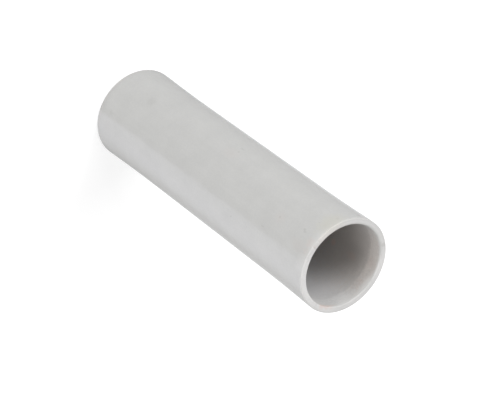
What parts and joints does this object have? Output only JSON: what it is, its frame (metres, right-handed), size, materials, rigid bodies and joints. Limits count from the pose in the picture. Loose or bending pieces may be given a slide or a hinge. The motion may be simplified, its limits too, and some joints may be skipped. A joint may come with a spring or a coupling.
{
  "type": "conduit coupling",
  "caption": "Straight slip coupling for rigid conduit: a thin-walled plastic sleeve, open at both ends, with belled mouths and a low stop ring inside.",
  "frame": {"origin": "centre of the lower rim, on the surface that the coupling stands on", "axes": "+Z along the bore, from the lower rim to the upper rim; +X and +Y are alike, because the sleeve is round"},
  "size_m": [0.0232, 0.0232, 0.085],
  "materials": {
    "grey_plastic": "semi-gloss, faintly mottled light grey"
  },
  "bodies": {
    "root": {"coupling_sleeve": "grey_plastic"}
  },
  "joints": []
}
